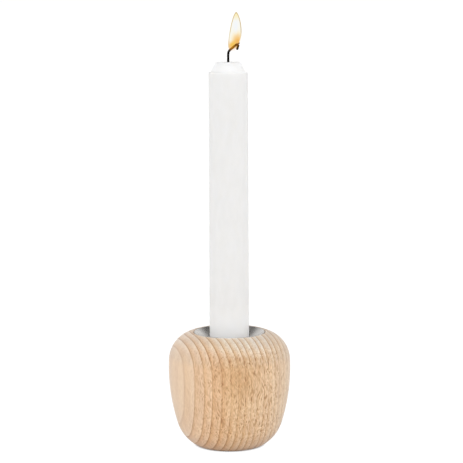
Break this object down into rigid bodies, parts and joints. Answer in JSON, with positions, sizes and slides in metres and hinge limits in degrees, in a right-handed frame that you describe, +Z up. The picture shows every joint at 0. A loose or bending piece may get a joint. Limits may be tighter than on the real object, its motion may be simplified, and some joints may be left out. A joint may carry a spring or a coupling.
{
  "type": "candlestick",
  "caption": "Rounded turned wooden candlestick with a recessed steel drip bowl and socket, holding a straight white candle that lifts out.",
  "frame": {"origin": "centre of the felt pad's underside, on the surface the candlestick stands on", "axes": "+Z up along the candle's axis; +X is the way the wick's end bends over"},
  "size_m": [0.0678, 0.0678, 0.2234],
  "materials": {
    "beech": "bare pale beech, finely sanded, vertical growth rings and short dark ray flecks",
    "bowl_steel": "satin stainless steel, spun, with fine circular marks",
    "screw_steel": "bright zinc plate",
    "felt": "dense grey wool felt",
    "wax": "white stearin wax, soft satin",
    "wick_cotton": "braided cotton, charred black above the wax",
    "flame": "candle flame, white inside with a golden edge"
  },
  "bodies": {
    "holder": {"wood_body": "beech", "felt_pad": "felt", "drip_bowl": "bowl_steel", "socket_cup": "bowl_steel", "socket_screw": "screw_steel"},
    "candle": {"candle_wax": "wax", "wick": "wick_cotton"}
  },
  "joints": [
    {"name": "candle_lift", "type": "slide", "parent": "holder", "child": "candle", "axis": [0, 0, 1], "range_m": [0, 0.05]}
  ]
}
